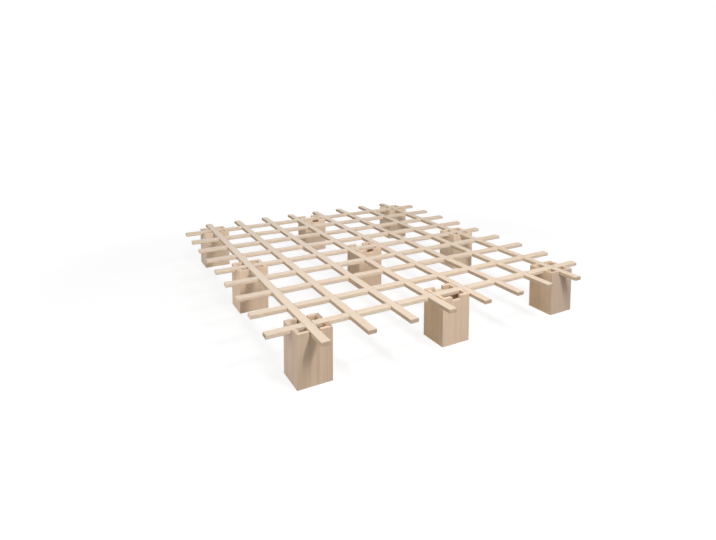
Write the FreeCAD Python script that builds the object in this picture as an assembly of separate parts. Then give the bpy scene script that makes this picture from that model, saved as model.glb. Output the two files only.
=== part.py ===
import FreeCAD, Part
import os
from math import cos, pi, sin

from FreeCAD import Placement, Rotation, Vector

# A lattice bed base that carries a futon. Long slats and cross slats lie in one plane and
# are halved into each other at every crossing, so their tops are flush. The lattice drops
# into notches in the rims of nine square box feet. No screw shows, and every piece lifts
# out again. Each foot is a box of four mitred boards, open at the top and the bottom.
#
# Lengths are in millimetres. X runs along the cross slats, Y along the long slats and Z up.
# The origin is on the floor, under the middle of the lattice, and the front is at -Y.

# Slats
long_slat_count = 8
cross_slat_count = 9
long_slat_length = 2000.0
cross_slat_length = 1750.0
slat_overhang = 180.0
slat_width = 40.0
slat_thickness = 18.0
slat_top_radius = 3.0
slat_lower_arris = 2.0
slat_end_arris = 1.2

# Halving joints
lap_depth_share = 0.5
lap_side_clearance = 0.3

# Feet
foot_height = 225.0
foot_wall = 18.0
foot_corner_arris = 1.0
foot_to_slat_gap = 3.3
notch_side_clearance = 3.5

# How far a cutting block runs past the face that it opens
overrun = 2.0

# Worked out: the pitches leave the overhang at both ends, and a foot stands between the
# two long slats beside the middle with a small gap to each.
long_slat_pitch = (cross_slat_length - 2 * slat_overhang) / (long_slat_count - 1)
cross_slat_pitch = (long_slat_length - 2 * slat_overhang) / (cross_slat_count - 1)
slat_underside = foot_height - slat_thickness
foot_side = long_slat_pitch - slat_width - 2 * foot_to_slat_gap

quarter_turn = pi / 2
quarter_turn_degrees = 90
up = Vector(0, 0, 1)


def spread(count, pitch):
    """Places of count things at one pitch, centred on zero."""
    middle = (count - 1) / 2
    return [(index - middle) * pitch for index in range(count)]


long_slat_places = spread(long_slat_count, long_slat_pitch)
cross_slat_places = spread(cross_slat_count, cross_slat_pitch)

foot_columns = {"left": long_slat_places[0], "centre": 0, "right": long_slat_places[-1]}
foot_rows = {"front": cross_slat_places[0], "middle": 0, "back": cross_slat_places[-1]}


def edge_round(centre_x, centre_z, radius, start_angle):
    """A quarter round in XZ, as an edge, that turns on from the start angle."""
    angles = (start_angle, start_angle + quarter_turn / 2, start_angle + quarter_turn)
    points = [
        Vector(centre_x + radius * cos(angle), 0, centre_z + radius * sin(angle))
        for angle in angles
    ]
    return Part.Arc(*points).toShape()


def slat_section():
    """The section of a slat in XZ: rounded over along the top, arrises broken below."""
    side = slat_width / 2
    shoulder = side - slat_top_radius
    spring = slat_thickness - slat_top_radius
    sole = side - slat_lower_arris
    corners = [
        Vector(-side, 0, spring),
        Vector(-side, 0, slat_lower_arris),
        Vector(-sole, 0, 0),
        Vector(sole, 0, 0),
        Vector(side, 0, slat_lower_arris),
        Vector(side, 0, spring),
    ]
    top_left = Vector(-shoulder, 0, slat_thickness)
    top_right = Vector(shoulder, 0, slat_thickness)
    edges = [Part.makeLine(here, there) for here, there in zip(corners, corners[1:])]
    edges.append(edge_round(shoulder, spring, slat_top_radius, 0))
    edges.append(Part.makeLine(top_right, top_left))
    edges.append(edge_round(-shoulder, spring, slat_top_radius, quarter_turn))
    return Part.Face(Part.Wire(edges))


def slat_blank(length):
    """A plain slat along Y, with its sawn ends eased all round."""
    blank = slat_section().extrude(Vector(0, length, 0))
    blank.translate(Vector(0, -length / 2, 0))
    sawn_ends = [face for face in blank.Faces if face.BoundBox.YLength < slat_end_arris]
    return blank.makeChamfer(slat_end_arris, [edge for end in sawn_ends for edge in end.Edges])


def lap_cutters(crossing_places, from_above):
    """The blocks sawn out of a slat along Y where the other slats cross it."""
    opening = slat_width + 2 * lap_side_clearance
    upper_share = 1 - lap_depth_share
    depth = slat_thickness * (upper_share if from_above else lap_depth_share)
    bottom = slat_thickness - depth if from_above else -overrun
    width = slat_width + 2 * overrun
    return [
        Part.makeBox(
            width,
            opening,
            depth + overrun,
            Vector(-width / 2, place - opening / 2, bottom),
        )
        for place in crossing_places
    ]


def long_slat():
    """A long slat, halved from below, with its underside at z = 0."""
    blank = slat_blank(long_slat_length)
    return blank.cut(lap_cutters(cross_slat_places, from_above=False)).Solids[0]


def cross_slat():
    """A cross slat, halved from above to take the long slats, turned to lie along X."""
    blank = slat_blank(cross_slat_length)
    halved = blank.cut(lap_cutters(long_slat_places, from_above=True)).Solids[0]
    halved.rotate(Vector(0, 0, 0), up, -quarter_turn_degrees)
    return halved


def foot_box():
    """A whole foot as one square tube, its upright corners eased."""
    side = foot_side
    hollow_side = foot_side - 2 * foot_wall
    block = Part.makeBox(side, side, foot_height, Vector(-side / 2, -side / 2, 0))
    hollow = Part.makeBox(
        hollow_side,
        hollow_side,
        foot_height + 2 * overrun,
        Vector(-hollow_side / 2, -hollow_side / 2, -overrun),
    )
    corners = [edge for edge in block.Edges if abs(edge.tangentAt(0).z) > 0]
    return block.makeChamfer(foot_corner_arris, corners).cut(hollow)


def mitre_wedge():
    """The quarter of the foot's plan that its front board fills, out to beyond the foot."""
    reach = foot_side
    corners = [
        Vector(0, 0, 0),
        Vector(-reach, -reach, 0),
        Vector(reach, -reach, 0),
        Vector(0, 0, 0),
    ]
    return Part.Face(Part.makePolygon(corners)).extrude(Vector(0, 0, foot_height))


def notch_cutter():
    """The block sawn out of a board's rim: as deep as a slat, and wider by its play."""
    notch_width = slat_width + 2 * notch_side_clearance
    run = foot_wall + 2 * overrun
    corner = Vector(-notch_width / 2, -foot_side / 2 - overrun, slat_underside)
    return Part.makeBox(notch_width, run, slat_thickness + overrun, corner)


def foot_board():
    """The front board of a foot that stands on the floor with its middle at the origin."""
    return foot_box().common(mitre_wedge()).cut(notch_cutter()).Solids[0]


def placed(shape, x, y, z, turn_degrees=0):
    """A copy of a shape, turned about the Z axis and then moved to a place."""
    copy = shape.copy()
    turn = Placement(Vector(x, y, z), Rotation(up, turn_degrees))
    copy.Placement = turn.multiply(copy.Placement)
    return copy


def slat_pieces():
    """Every slat by name, at its place in the lattice."""
    pieces = {}
    long_shape = long_slat()
    for number, x in enumerate(long_slat_places, start=1):
        pieces[f"long_slat_{number}"] = placed(long_shape, x, 0, slat_underside)
    cross_shape = cross_slat()
    for number, y in enumerate(cross_slat_places, start=1):
        pieces[f"cross_slat_{number}"] = placed(cross_shape, 0, y, slat_underside)
    return pieces


def foot_pieces():
    """Every board of every foot by name. The four boards of a foot are one shape, turned."""
    pieces = {}
    board = foot_board()
    for row, y in foot_rows.items():
        for column, x in foot_columns.items():
            for turn, side in enumerate(("front", "right", "back", "left")):
                name = f"foot_{row}_{column}_{side}_board"
                pieces[name] = placed(board, x, y, 0, turn * quarter_turn_degrees)
    return pieces


def write_parts():
    """Writes one STEP file for each piece."""
    os.makedirs("parts", exist_ok=True)
    for name, shape in {**slat_pieces(), **foot_pieces()}.items():
        shape.exportStep(f"parts/{name}.step")


write_parts()
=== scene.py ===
# %% [markdown]
# # A lattice bed base in pale wood
#
# This lesson dresses a bed base that is all wood: eight long slats and nine cross slats,
# halved flush into each other, on nine hollow box feet. The shapes come ready made in a
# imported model. Our work is what turns them into timber: one material that grows rings and
# fibres through every board, soft studio light, a pale floor, and a camera that looks as a
# person does who sits near the corner of the bed.

import random
from math import pi

import bmesh
import bpy
from mathutils import Euler, Matrix, Vector


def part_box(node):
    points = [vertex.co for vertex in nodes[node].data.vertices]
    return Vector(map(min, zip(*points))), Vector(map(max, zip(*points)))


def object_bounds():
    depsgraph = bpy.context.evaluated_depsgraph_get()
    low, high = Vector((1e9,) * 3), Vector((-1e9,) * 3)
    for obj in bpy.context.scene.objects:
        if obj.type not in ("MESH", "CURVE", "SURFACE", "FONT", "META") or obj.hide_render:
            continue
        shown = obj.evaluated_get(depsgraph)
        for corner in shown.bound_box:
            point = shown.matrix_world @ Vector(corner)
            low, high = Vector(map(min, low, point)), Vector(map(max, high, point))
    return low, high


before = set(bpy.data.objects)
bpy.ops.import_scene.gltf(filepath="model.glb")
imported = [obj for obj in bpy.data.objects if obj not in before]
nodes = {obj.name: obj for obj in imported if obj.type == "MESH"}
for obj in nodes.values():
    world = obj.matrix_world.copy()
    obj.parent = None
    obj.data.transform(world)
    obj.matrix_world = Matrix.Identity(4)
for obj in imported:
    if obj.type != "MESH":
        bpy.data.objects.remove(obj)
cad_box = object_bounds()
box_size = cad_box[1] - cad_box[0]
print("loaded", len(nodes), "pieces, in a box of", [round(side, 3) for side in box_size], "m")

# %% [markdown]
# ## The camera
#
# The picture was taken from beside the near corner, a little over a metre above the floor,
# with the camera almost level. Photographers keep a camera level so that upright edges stay
# upright, and slide the lens to bring the object into the frame. Blender has the same
# slide: the camera's shift. We could aim the camera down at the bed instead, but then the
# sides of the feet would lean together towards the floor.

# %% Set up the camera
photo_width = 716
photo_height = 540
focal_pixels = 527.96
principal_x = 389.12
principal_y = 141.72
sensor_width = 36.0

camera_place = Vector((-1.46519, -2.73985, 1.15856))
looks_along = Vector((0.50978, 0.85491, -0.09617)).normalized()
right_hand = Vector((0.85922, -0.51156, 0.00707)).normalized()

camera_data = bpy.data.cameras.new("camera")
camera_data.sensor_width = sensor_width
camera_data.lens = focal_pixels / photo_width * sensor_width
camera_data.shift_x = (photo_width / 2 - principal_x) / photo_width
camera_data.shift_y = (principal_y - photo_height / 2) / photo_width
camera = bpy.data.objects.new("camera", camera_data)
bpy.context.scene.collection.objects.link(camera)
bpy.context.scene.camera = camera

camera_up = right_hand.cross(looks_along)
turned = Matrix((right_hand, camera_up, -looks_along)).transposed()
camera.matrix_world = Matrix.Translation(camera_place) @ turned.to_4x4()
print("a lens of", round(camera_data.lens, 1), "mm, shifted by", round(camera_data.shift_y, 3))

# %% [markdown]
# ## Wiring nodes with little helpers
#
# A material in Blender is a small machine of nodes and wires. Clicked together by hand it is
# easy to follow, but in a script each node takes several lines. A few helpers keep it
# readable. The first gives an input a number or a wire, whichever it is handed. The others
# each make one node and hand back the wire that comes out of it: a sum of numbers, a sum of
# vectors, a ramp, a blend of two colours, a cloudy noise, and one part of a vector. The node
# that blends colours has several sockets of one name, so these are called by their number.

# %% Helpers for sums
def feed(tree, socket, value):
    """A wire if value is another node's output, or else a plain setting."""
    if isinstance(value, bpy.types.NodeSocket):
        tree.links.new(value, socket)
    else:
        socket.default_value = value


def maths(tree, operation, *values):
    """One sum, such as ADD or POWER, of numbers or wires."""
    node = tree.nodes.new("ShaderNodeMath")
    node.operation = operation
    for socket, value in zip(node.inputs, values):
        feed(tree, socket, value)
    return node.outputs["Value"]


def vector_maths(tree, operation, *values):
    """The same for vectors. A length or a dot product comes out as a number."""
    node = tree.nodes.new("ShaderNodeVectorMath")
    node.operation = operation
    for socket, value in zip(node.inputs, values):
        feed(tree, socket, value)
    return node.outputs["Value" if operation in ("LENGTH", "DOT_PRODUCT") else "Vector"]


def one_of(tree, vector, axis):
    """The X, Y or Z of a vector, as a number."""
    node = tree.nodes.new("ShaderNodeSeparateXYZ")
    feed(tree, node.inputs["Vector"], vector)
    return node.outputs[axis]


def ramp(tree, value, low, high, to_low=0.0, to_high=1.0):
    """Carries value from low..high to to_low..to_high, with a soft start and end."""
    node = tree.nodes.new("ShaderNodeMapRange")
    node.interpolation_type = "SMOOTHSTEP"
    feed(tree, node.inputs["Value"], value)
    node.inputs["From Min"].default_value = low
    node.inputs["From Max"].default_value = high
    node.inputs["To Min"].default_value = to_low
    node.inputs["To Max"].default_value = to_high
    return node.outputs["Result"]


print("helpers for sums:", [helper.__name__ for helper in (feed, maths, vector_maths, one_of, ramp)])

# %% Helpers for colour and noise
mix_first_colour = 6
mix_second_colour = 7
mix_blended_colour = 2
middle_of_noise = (0.5, 0.5, 0.5)


def blend_colours(tree, share, first, second, way="MIX"):
    """share of the second colour over the first."""
    node = tree.nodes.new("ShaderNodeMix")
    node.data_type = "RGBA"
    node.blend_type = way
    feed(tree, node.inputs["Factor"], share)
    feed(tree, node.inputs[mix_first_colour], first)
    feed(tree, node.inputs[mix_second_colour], second)
    return node.outputs[mix_blended_colour]


def dye(tree, colour, by):
    """A colour seen through another: each of red, green and blue times its like."""
    return blend_colours(tree, 1.0, colour, by, "MULTIPLY")


def noise(tree, place, spots, layers):
    """Cloudy noise around nought. spots is how many to the metre, each way. layers is how many
    finer noises lie over the first, and how strong each is against the one before."""
    detail, roughness = layers
    squeezed = vector_maths(tree, "MULTIPLY", place, spots)
    node = tree.nodes.new("ShaderNodeTexNoise")
    node.inputs["Scale"].default_value = 1.0
    node.inputs["Detail"].default_value = detail
    node.inputs["Roughness"].default_value = roughness
    feed(tree, node.inputs["Vector"], squeezed)
    return vector_maths(tree, "SUBTRACT", node.outputs["Color"], middle_of_noise)


print("helpers for colour:", [helper.__name__ for helper in (blend_colours, dye, noise)])

# %% [markdown]
# ## The floor, and the white around it
#
# The bed stands on a wide sheet of white studio paper. Studio white has to reach the camera
# as full white, yet if we lit the paper until it burns out, that light would bounce up and
# bleach the wood. So the paper has two sides to its nature. For most rays it is a plain
# light grey sheet, which gives back a measured share of the light. For a ray from the
# camera, or one mirrored towards it, it shows the feet's soft shadows faintly and glows a
# little by itself. The Light Path node tells the two apart.
#
# The lamps light the paper under the bed more than the paper far behind it. To keep the
# white even up to the horizon, the glow gets stronger with the distance from the bed.

# %% Tell the two kinds of ray apart
def seen_or_mirrored(tree):
    """1 for a ray that shows a picture of things, 0 for one that only carries light."""
    light_path = tree.nodes.new("ShaderNodeLightPath")
    direct = light_path.outputs["Is Camera Ray"]
    mirrored = light_path.outputs["Is Glossy Ray"]
    through = light_path.outputs["Is Transmission Ray"]
    either = maths(tree, "MAXIMUM", direct, mirrored)
    return maths(tree, "MAXIMUM", either, through)


def by_kind_of_ray(tree, for_light, for_sight):
    """One shader for rays that only carry light, and another for rays that show things."""
    choice = tree.nodes.new("ShaderNodeMixShader")
    share, first, second = choice.inputs
    tree.links.new(seen_or_mirrored(tree), share)
    tree.links.new(for_light, first)
    tree.links.new(for_sight, second)
    return choice.outputs["Shader"]


print("two more helpers:", seen_or_mirrored.__name__, "and", by_kind_of_ray.__name__)

# %% Roll out the paper
paper_half_width = 14.0
paper_drop = 0.0002

paper_mesh = bpy.data.meshes.new("studio_paper")
sheet = bmesh.new()
bmesh.ops.create_grid(sheet, x_segments=1, y_segments=1, size=paper_half_width)
sheet.to_mesh(paper_mesh)
sheet.free()
paper = bpy.data.objects.new("studio_paper", paper_mesh)
paper.location.z = -paper_drop
bpy.context.scene.collection.objects.link(paper)
print("the paper is", 2 * paper_half_width, "m wide")

# %% Give the paper its two sides
paper_grey = 0.50
paper_shows_light = 0.22
glow_near = 0.84
glow_far = 1.0
glow_starts = 1.6
glow_full = 3.3


def dull_sheet(tree, grey):
    """A sheet that gives back this share of the light, alike in all colours and all ways."""
    node = tree.nodes.new("ShaderNodeBsdfDiffuse")
    node.inputs["Color"].default_value = (grey, grey, grey, 1.0)
    return node.outputs["BSDF"]


paper_material = bpy.data.materials.new("studio_paper")
paper_material.use_nodes = True
tree = paper_material.node_tree
tree.nodes.clear()
glow = tree.nodes.new("ShaderNodeEmission")
coordinates = tree.nodes.new("ShaderNodeTexCoord")
from_middle = vector_maths(tree, "LENGTH", coordinates.outputs["Object"])
feed(tree, glow.inputs["Strength"], ramp(tree, from_middle, glow_starts, glow_full, glow_near, glow_far))
glowing = tree.nodes.new("ShaderNodeAddShader")
first, second = glowing.inputs
tree.links.new(dull_sheet(tree, paper_shows_light), first)
tree.links.new(glow.outputs["Emission"], second)
two_sided = by_kind_of_ray(tree, dull_sheet(tree, paper_grey), glowing.outputs["Shader"])
paper_output = tree.nodes.new("ShaderNodeOutputMaterial")
tree.links.new(two_sided, paper_output.inputs["Surface"])
paper_mesh.materials.append(paper_material)
print("the paper glows from", glow_near, "near the bed to", glow_far, "far away")

# %% [markdown]
# ## Light from the room
#
# The world is the light that comes from everywhere. Here too, what the camera sees is pure
# white. What falls on the wood is only a trace of it, because light from all sides at once
# would fill the shadows, and the lamps can do the lighting. The view transform is set to
# Standard, so that a colour written in a material is about the colour that appears.

# %% Light the room
room_light = 0.02
full_white = 1.0
plain_white = (1.0, 1.0, 1.0, 1.0)


def white_all_round(tree, strength):
    """White light from everywhere, at this strength."""
    node = tree.nodes.new("ShaderNodeBackground")
    node.inputs["Color"].default_value = plain_white
    node.inputs["Strength"].default_value = strength
    return node.outputs["Background"]


world = bpy.data.worlds.new("studio")
bpy.context.scene.world = world
world.use_nodes = True
tree = world.node_tree
tree.nodes.clear()
quiet = white_all_round(tree, room_light)
bright = white_all_round(tree, full_white)
world_output = tree.nodes.new("ShaderNodeOutputWorld")
tree.links.new(by_kind_of_ray(tree, quiet, bright), world_output.inputs["Surface"])

bpy.context.scene.view_settings.view_transform = "Standard"
print("room light", room_light)

# %% [markdown]
# ## The lamps
#
# The shadows under the overhanging slat ends tell where the main light was. On the left foot
# the shadow leans left and on the right foot it leans right, so the main lamp stood in front
# of the bed, on its middle line, about two and a half metres up. A point lamp would cut
# hard shadows all round. An area lamp is Blender's softbox: the larger it is, the softer its
# shadows. These have crisp sides but fade away downwards, so the lamp is narrow and tall.
# Five more fill in what it leaves dark. A large one far out in front reaches the back feet
# almost as well as the front ones, one hangs overhead for the tops, one stands on each side,
# and a large one at the back keeps the far end bright.

# %% A softbox
bed_middle = Vector((0.0, 0.0, 0.2))


def hang_softbox(name, place, width, height, watts):
    """A rectangular lamp at place, turned towards the middle of the bed."""
    lamp_data = bpy.data.lights.new(name, "AREA")
    lamp_data.shape = "RECTANGLE"
    lamp_data.size = width
    lamp_data.size_y = height
    lamp_data.energy = watts
    lamp = bpy.data.objects.new(name, lamp_data)
    lamp.location = place
    lamp.rotation_euler = (bed_middle - Vector(place)).to_track_quat("-Z", "Y").to_euler()
    bpy.context.scene.collection.objects.link(lamp)


print("softboxes look at", [round(part, 2) for part in bed_middle])

# %% Hang the lamps
hang_softbox("front_softbox", place=(0.0, -2.6, 2.4), width=0.5, height=1.3, watts=45.0)
hang_softbox("far_front_softbox", place=(0.0, -8.0, 3.0), width=4.0, height=2.0, watts=52.0)
hang_softbox("overhead_softbox", place=(0.0, -1.0, 2.1), width=0.5, height=0.5, watts=12.5)
hang_softbox("left_softbox", place=(-3.4, -0.5, 1.3), width=2.8, height=2.2, watts=48.0)
hang_softbox("right_softbox", place=(3.0, -1.0, 2.2), width=1.5, height=1.5, watts=29.0)
hang_softbox("back_softbox", place=(0.6, 3.2, 1.8), width=2.2, height=2.2, watts=44.0)
print("lamps:", [lamp.name for lamp in bpy.data.lights])

# %% [markdown]
# ## How a tree makes its figure
#
# Every mark on a board comes from where it lay in the log. Seen along the trunk, the tree is
# a set of rings around the pith, one ring a year: a wide pale band grown in spring, then a
# thin darker line of late summer wood. A picture of wood wrapped round a board goes wrong
# where the faces meet. A solid texture doesn't: it asks each point of the surface how far
# it is from the pith, so lines on the top run on down the side, and the sawn ends show
# arcs. We build that log once, as a node group, and cut every board from it.

# %% Start the timber group
timber = bpy.data.node_groups.new("timber", "ShaderNodeTree")
wanted = {
    "Place in the log": "Vector",
    "Grain direction": "Vector",
    "Sapwood from": "Float",
    "Figure": "Float",
    "Tone": "Color",
    "End tone": "Color",
    "Side direction": "Vector",
    "Side both ways": "Float",
    "Painted side tone": "Color",
}
given_back = {"Colour": "Color", "Roughness": "Float", "Height": "Float", "Softened normal": "Vector"}
for name, kind in wanted.items():
    timber.interface.new_socket(name, in_out="INPUT", socket_type="NodeSocket" + kind)
for name, kind in given_back.items():
    timber.interface.new_socket(name, in_out="OUTPUT", socket_type="NodeSocket" + kind)
given = timber.nodes.new("NodeGroupInput")
result = timber.nodes.new("NodeGroupOutput")
place = given.outputs["Place in the log"]
figure = given.outputs["Figure"]
print("the timber group takes", len(wanted), "facts and gives back", len(given_back))

# %% [markdown]
# ### Rings
#
# The Wave Texture node has rings ready made, but every one of them is as strong as the next.
# We count the rings ourselves instead, so that each year can differ. A real ring is never a
# true circle, so the place is nudged by a slow noise before its distance from the pith is
# taken. The noise is drawn out along the trunk, because a tree changes slowly along its
# height. Distance divided by ring width counts the years: its whole part is the year, and
# what is left over says how far that year has got.

# %% Count the rings
ring_width = 0.0019
nudge_spots = (5.0, 5.0, 0.6)
nudge_layers = (3.0, 0.45)
nudge_reach = (0.016, 0.016, 0.0)
thick_and_thin_spots = (16.0, 16.0, 0.0)
thick_and_thin_layers = (1.0, 0.5)
thick_and_thin = 5.0

nudge = vector_maths(timber, "MULTIPLY", noise(timber, place, nudge_spots, nudge_layers), nudge_reach)
nudged = vector_maths(timber, "ADD", place, nudge)
across = vector_maths(timber, "MULTIPLY", nudged, (1.0, 1.0, 0.0))
radius = vector_maths(timber, "LENGTH", across)
drift = one_of(timber, noise(timber, across, thick_and_thin_spots, thick_and_thin_layers), "X")
years = maths(timber, "DIVIDE", radius, ring_width)
years = maths(timber, "MULTIPLY_ADD", drift, thick_and_thin, years)
season = maths(timber, "FRACT", years)
year = maths(timber, "FLOOR", years)
print("a ring every", ring_width * 1000, "mm")

# %% [markdown]
# Late wood comes on slowly towards the end of a year's growth and stops sharply with the
# winter. No two summers are alike, so a random number drawn for each year says how strong
# that year's line is.

# %% Grow the late wood
late_starts = 0.30
late_ripe = 0.90
weakest_year = 0.25

weather = timber.nodes.new("ShaderNodeTexWhiteNoise")
weather.noise_dimensions = "1D"
feed(timber, weather.inputs["W"], year)
late_growth = ramp(timber, season, late_starts, late_ripe)
winter_stop = ramp(timber, season, late_ripe, 1.0, to_low=1.0, to_high=0.0)
year_strength = ramp(timber, weather.outputs["Value"], 0.0, 1.0, to_low=weakest_year)
late_wood = maths(timber, "MULTIPLY", late_growth, winter_stop)
late_wood = maths(timber, "MULTIPLY", late_wood, year_strength)
print("late wood fills the last", round(1 - late_starts, 1), "of each ring")

# %% [markdown]
# ### Fibres and streaks
#
# Close up, planed wood is a bundle of fibres a fraction of a millimetre wide and very long,
# so the fine noise is squeezed across the grain and drawn out a hundred times along it. The
# same trick at the scale of a finger gives the broad, faint streaks that a board shows from
# across the room.

# %% Draw the fibres
fibres_per_metre = 900.0
fibre_spots = (fibres_per_metre, fibres_per_metre, 9.0)
fibre_layers = (3.0, 0.62)
streak_spots = (46.0, 46.0, 0.9)
streak_layers = (2.0, 0.5)

fibres = one_of(timber, noise(timber, place, fibre_spots, fibre_layers), "X")
streak_noise = noise(timber, place, streak_spots, streak_layers)
streaks = one_of(timber, streak_noise, "X")
warmth = one_of(timber, streak_noise, "Y")
print("the widest fibre marks are about", round(1000 / fibres_per_metre, 1), "mm across")

# %% [markdown]
# ### Colour
#
# The inner heartwood is a little pinker, and the outer sapwood a little creamier, so boards
# cut from different depths differ in tone as the real slats do. The late wood darkens both.
# All of it is kept faint: this is a pale, clear timber, and across the room it reads as one
# colour that isn't quite even. The figure is a dial from the board: wide boards show more
# of these marks than narrow slats do.

# %% Mix the wood's colour
heart_colour = (0.790, 0.641, 0.504, 1.0)
sap_colour = (0.796, 0.653, 0.518, 1.0)
late_colour = (0.620, 0.450, 0.315, 1.0)
sap_edge = 0.006
late_share = 0.30
fibre_share = 0.22
streak_share = 0.13
warm_green = 0.04
warm_blue = 0.10

past_heart = maths(timber, "SUBTRACT", radius, given.outputs["Sapwood from"])
early = blend_colours(timber, ramp(timber, past_heart, -sap_edge, sap_edge), heart_colour, sap_colour)
late_amount = maths(timber, "MULTIPLY", maths(timber, "MULTIPLY", late_wood, late_share), figure)
ringed = blend_colours(timber, late_amount, early, late_colour)
shade = maths(timber, "MULTIPLY_ADD", fibres, fibre_share, 1.0)
streaked = maths(timber, "MULTIPLY", streaks, figure)
shade = maths(timber, "MULTIPLY_ADD", streaked, streak_share, shade)
shading = timber.nodes.new("ShaderNodeCombineColor")
feed(timber, shading.inputs["Red"], shade)
feed(timber, shading.inputs["Green"], maths(timber, "MULTIPLY_ADD", warmth, warm_green, shade))
feed(timber, shading.inputs["Blue"], maths(timber, "MULTIPLY_ADD", warmth, warm_blue, shade))
planed = dye(timber, dye(timber, ringed, shading.outputs["Color"]), given.outputs["Tone"])
print("late wood covers up to", late_share, "of the early colour")

# %% [markdown]
# ### Painted light and shade on some sides
#
# Some faces have light or shade painted into their colour. Painted shade makes the flanks of the long
# slats browner than their tops, painted light makes the sides of the cross slats paler, and the insides of
# the feet get painted shade, all but the back boards, which get painted light inside. Each board says
# which way its painted side looks. Where the surface looks that way too, the dot product of the two
# directions is near 1. A slat is alike on both sides, so it asks for both ways, and there the sign is
# dropped.

# %% Find the sides
side_starts = 0.30
side_full = 0.85

geometry = timber.nodes.new("ShaderNodeNewGeometry")
flat_normal = geometry.outputs["Normal"]
facing = vector_maths(timber, "DOT_PRODUCT", flat_normal, given.outputs["Side direction"])
either_way = maths(timber, "MULTIPLY", maths(timber, "ABSOLUTE", facing), given.outputs["Side both ways"])
painted_side_share = ramp(timber, maths(timber, "MAXIMUM", facing, either_way), side_starts, side_full)
# Painted light and shade: the side colour is the planed colour times the board's painted side tone.
painted_side_colour = dye(timber, planed, given.outputs["Painted side tone"])
body_colour = blend_colours(timber, painted_side_share, planed, painted_side_colour)
print("a side is found where its direction agrees by", side_full, "or more")

# %% [markdown]
# ### Ends
#
# Where a board is cut across, the fibres are open tubes. They show as fine dark pores, and
# the whole end takes a tone of its own. We could pick out the end faces by hand and give
# them a second material, but the surface's normal finds them for us: on an end it lies along
# the grain.

# %% Find the ends
end_starts = 0.55
end_full = 0.95
pore_spots = (1500.0, 1500.0, 300.0)
pore_layers = (2.0, 0.6)
pore_share = 0.5

along = vector_maths(timber, "DOT_PRODUCT", flat_normal, given.outputs["Grain direction"])
end_share = ramp(timber, maths(timber, "ABSOLUTE", along), end_starts, end_full)
pores = one_of(timber, noise(timber, place, pore_spots, pore_layers), "X")
pored = maths(timber, "MULTIPLY_ADD", pores, pore_share, 1.0)
end_shading = timber.nodes.new("ShaderNodeCombineColor")
for part in ("Red", "Green", "Blue"):
    feed(timber, end_shading.inputs[part], pored)
end_colour = dye(timber, dye(timber, body_colour, given.outputs["End tone"]), end_shading.outputs["Color"])
with_ends = blend_colours(timber, end_share, body_colour, end_colour)
print("the widest pores are about", round(1000 / pore_spots[0], 2), "mm across")

# %% [markdown]
# ### Handled edges, with a painted highlight
#
# Sanding eases the edges, and hands and cloth polish them, so they are a touch less dull. The thin bright
# line where they catch the light is a painted highlight: the colour is made lighter along the edges. They
# could be rounded in the mesh, but the shapes are to stay as they came. The Bevel node does it in the
# shading alone: it looks a little way round each point and gives the normal that a rounded edge would
# have. Where that differs from the flat one, there is an edge. A patchy noise keeps the rubbing uneven, as
# it is on a real thing, and the painted highlight with it.

# %% Rub the edges and paint their highlight
edge_reach = 0.0020
edge_samples = 6
# A painted highlight along the edges.
edge_highlight_tint = (1.13, 1.13, 1.14, 1.0)
edge_turned = 0.80
edge_flat = 0.995
rub_spots = (90.0, 90.0, 22.0)
rub_layers = (2.0, 0.6)
rub_starts = -0.16
rub_full = 0.12
least_rubbed = 0.4

rounded = timber.nodes.new("ShaderNodeBevel")
rounded.samples = edge_samples
rounded.inputs["Radius"].default_value = edge_reach
alike = vector_maths(timber, "DOT_PRODUCT", rounded.outputs["Normal"], geometry.outputs["True Normal"])
edge_share = ramp(timber, alike, edge_turned, edge_flat, to_low=1.0, to_high=0.0)
patches = one_of(timber, noise(timber, place, rub_spots, rub_layers), "Z")
rub = ramp(timber, patches, rub_starts, rub_full)
rubbed = maths(timber, "MULTIPLY_ADD", rub, 1 - least_rubbed, least_rubbed)
rub_and_highlight = maths(timber, "MULTIPLY", edge_share, rubbed)
# Painted highlight: the colour is lighter along the edges, patchy where the rubbing is.
finished_colour = blend_colours(timber, rub_and_highlight, with_ends, dye(timber, with_ends, edge_highlight_tint))
print("edges are rubbed within", edge_reach * 1000, "mm")

# %% [markdown]
# ### Roughness and relief
#
# The wood has no varnish, so it is dull all over, a touch less so on the dense late wood and on rubbed
# edges, and dullest on the ends and on the sides that get painted light and shade. The relief is no
# thicker than a hair or two: after planing, late wood stands a little proud, and the fibres leave faint
# furrows. A noise of their own would let these marks drift away from the lines that we see, so they come
# from the same rings and fibres as the colour does.

# %% Finish the timber group
planed_roughness = 0.62
fibre_roughness = 0.22
late_polish = -0.08
rubbed_polish = -0.10
open_roughness = 0.20
late_stands_proud = 0.5

coarse_share = maths(timber, "MAXIMUM", end_share, painted_side_share)
roughness = maths(timber, "MULTIPLY_ADD", fibres, fibre_roughness, planed_roughness)
roughness = maths(timber, "MULTIPLY_ADD", late_wood, late_polish, roughness)
roughness = maths(timber, "MULTIPLY_ADD", coarse_share, open_roughness, roughness)
roughness = maths(timber, "MULTIPLY_ADD", rub_and_highlight, rubbed_polish, roughness)
height = maths(timber, "MULTIPLY_ADD", late_wood, late_stands_proud, fibres)
feed(timber, result.inputs["Colour"], finished_colour)
feed(timber, result.inputs["Roughness"], roughness)
feed(timber, result.inputs["Height"], height)
feed(timber, result.inputs["Softened normal"], rounded.outputs["Normal"])
print("the timber group has", len(timber.nodes), "nodes")

# %% [markdown]
# ## A board and its place in the log
#
# Each board gets a material of its own, which holds little more than two facts: where the
# pith ran, and how far the saw strayed from it. The Mapping node, in its Texture mode, turns
# a place in the room into a place in that log. Boards cut close to the pith show tight arcs
# on their ends, and boards cut far from it show almost straight lines. A pith that isn't
# quite parallel to the board lets the rings run out through the face, which draws the long
# pointed arches that everybody knows from planks.

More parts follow.
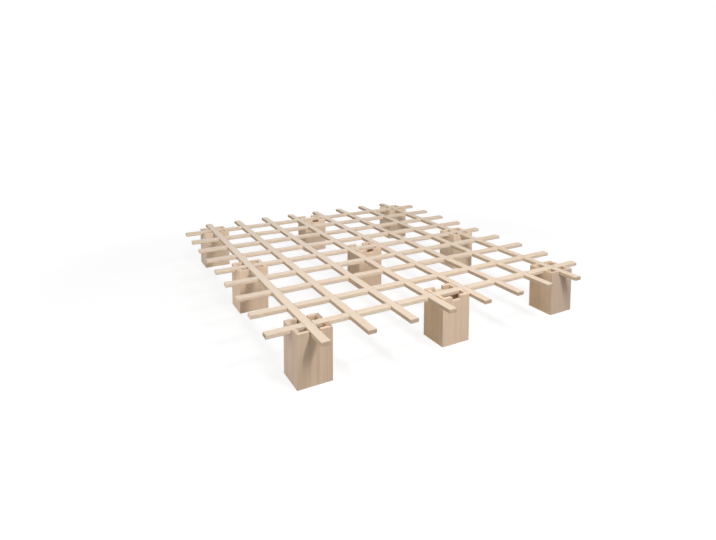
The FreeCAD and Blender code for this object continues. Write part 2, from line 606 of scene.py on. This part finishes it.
# %% Cut a board from a log
grain_ways = {"X": (1.0, 0.0, 0.0), "Y": (0.0, 1.0, 0.0), "Z": (0.0, 0.0, 1.0)}
log_turns = {
    "X": Euler((0.0, pi / 2, 0.0)),
    "Y": Euler((-pi / 2, 0.0, 0.0)),
    "Z": Euler((0.0, 0.0, 0.0)),
}
log_half_length = 9.0
sap_varies = 0.05


def cut_from_log(tree, piece, draws, grain, from_pith, stray):
    """The timber group, set to the part of a log that this piece was cut from."""
    low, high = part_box(piece)
    away = draws.uniform(*from_pith)
    around = draws.uniform(0.0, 2 * pi)
    strayed = Euler((draws.uniform(-stray, stray), draws.uniform(-stray, stray), around))
    turn = log_turns[grain].to_matrix() @ strayed.to_matrix()
    up_the_log = draws.uniform(-log_half_length, log_half_length)

    coordinates = tree.nodes.new("ShaderNodeTexCoord")
    in_log = tree.nodes.new("ShaderNodeMapping")
    in_log.vector_type = "TEXTURE"
    in_log.inputs["Location"].default_value = (low + high) / 2 + turn @ Vector((away, 0.0, up_the_log))
    in_log.inputs["Rotation"].default_value = turn.to_euler()
    tree.links.new(coordinates.outputs["Object"], in_log.inputs["Vector"])

    wood = tree.nodes.new("ShaderNodeGroup")
    wood.node_tree = timber
    tree.links.new(in_log.outputs["Vector"], wood.inputs["Place in the log"])
    wood.inputs["Grain direction"].default_value = grain_ways[grain]
    wood.inputs["Sapwood from"].default_value = away + draws.uniform(-sap_varies, sap_varies)
    return wood


print("logs may run along", sorted(grain_ways))

# %% [markdown]
# The board's material joins that piece of log to a surface. Bare wood has only a weak,
# broad sheen, so the specular level is low. The bump carries the relief, in metres.

# %% Make a board's material
bump_height = 0.00012
bump_strength = 0.6
wood_ior = 1.5
sheen = 0.28
lightness_varies = 0.015
pinkness_varies = 0.006
both_sides = 1.0
one_side = 0.0


def make_surface(tree, wood):
    """Joins the wood to the Principled shader."""
    relief = tree.nodes.new("ShaderNodeBump")
    relief.inputs["Strength"].default_value = bump_strength
    relief.inputs["Distance"].default_value = bump_height
    tree.links.new(wood.outputs["Height"], relief.inputs["Height"])
    tree.links.new(wood.outputs["Softened normal"], relief.inputs["Normal"])
    surface = tree.nodes["Principled BSDF"]
    surface.inputs["IOR"].default_value = wood_ior
    surface.inputs["Specular IOR Level"].default_value = sheen
    tree.links.new(wood.outputs["Colour"], surface.inputs["Base Color"])
    tree.links.new(wood.outputs["Roughness"], surface.inputs["Roughness"])
    tree.links.new(relief.outputs["Normal"], surface.inputs["Normal"])


def dress(piece, draws, cut, tone, end_tone, figure, sides):
    """Gives a piece a board's material of its own. cut is which way its grain runs, how near and how far
    the pith may be, and how far the saw may stray. sides is which way the side with painted light and
    shade looks, whether both sides are alike, and the tone that paints that light and shade."""
    side_way, both_ways, painted_side_tone = sides
    material = bpy.data.materials.new(piece)
    material.use_nodes = True
    wood = cut_from_log(material.node_tree, piece, draws, *cut)
    lightness = draws.uniform(1 - lightness_varies, 1 + lightness_varies)
    pinkness = draws.uniform(-pinkness_varies, pinkness_varies)
    own_light = (lightness, lightness * (1 - pinkness), lightness)
    wood.inputs["Tone"].default_value = (*(part * light for part, light in zip(tone, own_light)), 1.0)
    wood.inputs["End tone"].default_value = (*end_tone, 1.0)
    wood.inputs["Figure"].default_value = figure
    wood.inputs["Side direction"].default_value = side_way
    wood.inputs["Side both ways"].default_value = both_ways
    wood.inputs["Painted side tone"].default_value = (*painted_side_tone, 1.0)
    make_surface(material.node_tree, wood)
    for slot in nodes[piece].material_slots:
        slot.material = material


print("boards' relief is", round(bump_height * 1000, 2), "mm deep")

# %% [markdown]
# ## The long slats
#
# Eight slats run from the head to the foot of the bed and lie on top at every crossing, so
# they show one unbroken face. One material shared by all would be simpler, but then they
# would look like strips of a single plank. Each gets its own place in a log instead. Their
# grain runs along Y, and their flanks look along X.

# %% Dress the long slats
draws = random.Random(8)
slat_tone = (1.0, 1.0, 1.0)
slat_figure = 1.0
slat_stray = 0.008
slat_from_pith = (0.04, 0.16)
long_end_tone = (0.84, 0.78, 0.70)
# Painted shade on the flanks of the long slats, which makes them browner than their tops.
flank_painted_shade = (0.82, 0.77, 0.68)
long_cut = ("Y", slat_from_pith, slat_stray)
flanks = ((1, 0, 0), both_sides, flank_painted_shade)
long_slats = sorted(name for name in nodes if name.startswith("long_slat"))
for piece in long_slats:
    dress(piece, draws, long_cut, slat_tone, long_end_tone, slat_figure, flanks)
print("dressed", len(long_slats), "long slats")

# %% [markdown]
# ## The cross slats
#
# Nine slats cross them, cut from the same boards and turned a quarter. Their grain runs along X, so at
# every joint the lines of two boards meet at a right angle. Their sides get painted light, which makes
# them paler. Their ends are given a lighter tone, all but the ends of the nearest slat, which are darker.

# %% Dress the cross slats
draws = random.Random(9)
cross_end_tone = (1.18, 1.18, 1.22)
nearest_end_tone = (0.62, 0.60, 0.56)
# Painted light on the sides of the cross slats, which makes them paler than their tops.
cross_side_painted_light = (1.12, 1.11, 1.10)
cross_cut = ("X", slat_from_pith, slat_stray)
cross_sides = ((0, 1, 0), both_sides, cross_side_painted_light)
cross_slats = sorted(name for name in nodes if name.startswith("cross_slat"))
for piece in cross_slats:
    end_tone = nearest_end_tone if piece == "cross_slat_1" else cross_end_tone
    dress(piece, draws, cross_cut, slat_tone, end_tone, slat_figure, cross_sides)
print("dressed", len(cross_slats), "cross slats")

# %% [markdown]
# ## The feet
#
# Each foot is a box of four boards with their grain upright, mitred at the corners. One material could
# cover the whole box, but then the figure would run on through a mitre, where two boards meet. So here too
# each board comes from a log of its own. The boards are wide, so they are cut further out in the tree, and
# read a little browner than the slats. Inside the box they get painted shade, brown, all but the back
# boards, which get painted light there. The feet further back get painted light, which makes them paler,
# and some boards and rims get painted light and shade of their own.

# %% Tones of the feet
foot_tone = Vector((1.022, 0.951, 0.884))
foot_end_tone = (0.97, 0.99, 1.02)
# Painted light: the feet in the middle and back rows are made paler.
row_painted_light = {
    "front": Vector((1.0, 1.0, 1.0)),
    "middle": Vector((1.10, 1.10, 1.10)),
    "back": Vector((1.14, 1.16, 1.17)),
}
# Painted light on the inside of the back boards, and painted shade on the insides of the other boards.
painted_light_inside = (1.14, 1.16, 1.15)
painted_shade_inside = (0.90, 0.84, 0.73)
painted_deep_shade_inside = (0.62, 0.52, 0.40)
inside_painted_light_and_shade = {"front": painted_deep_shade_inside, "right": painted_shade_inside, "back": painted_light_inside, "left": painted_deep_shade_inside}
inward = {"front": (0, 1, 0), "right": (-1, 0, 0), "back": (0, -1, 0), "left": (1, 0, 0)}
print("rows of feet:", list(row_painted_light))

# %% Boards and rims with painted light and shade
plain_board = Vector((1.0, 1.0, 1.0))
# Painted light and shade, board by board: these boards are made lighter or darker than the rest.
boards_with_painted_light = {
    "foot_front_left_left_board": Vector((0.94, 0.94, 1.02)),
    "foot_front_centre_left_board": Vector((1.11, 1.10, 1.00)),
    "foot_front_centre_front_board": Vector((1.09, 1.10, 1.12)),
    "foot_front_right_left_board": Vector((0.95, 0.92, 0.83)),
    "foot_front_right_front_board": Vector((0.92, 0.92, 0.97)),
    "foot_middle_right_front_board": Vector((1.02, 1.06, 1.06)),
    "foot_middle_right_left_board": Vector((1.07, 1.11, 1.11)),
    "foot_back_left_left_board": Vector((0.93, 0.95, 0.98)),
    "foot_back_centre_front_board": Vector((1.04, 1.08, 1.09)),
}
# A painted highlight on the near foot's front rim, and painted shade on its right rim.
rims_with_painted_light = {
    "foot_front_left_front_board": (1.12, 1.12, 1.13),
    "foot_front_left_right_board": (0.65, 0.62, 0.57),
}
print(len(boards_with_painted_light), "boards and", len(rims_with_painted_light), "rims have tones of their own")

# %% Dress the feet
draws = random.Random(36)
foot_figure = 1.6
foot_stray = 0.012
foot_from_pith = (0.09, 0.22)
foot_cut = ("Z", foot_from_pith, foot_stray)
foot_boards = sorted(name for name in nodes if name.startswith("foot_"))
for piece in foot_boards:
    _, row, _, side, _ = piece.split("_")
    # The tone brings the painted light of the row and the board, and end_tone the painted light and shade
    # of some rims.
    tone = foot_tone * boards_with_painted_light.get(piece, plain_board) * row_painted_light[row]
    end_tone = rims_with_painted_light.get(piece, foot_end_tone)
    inside = (inward[side], one_side, inside_painted_light_and_shade[side])
    dress(piece, draws, foot_cut, tone, end_tone, foot_figure, inside)
print("dressed", len(foot_boards), "foot boards")
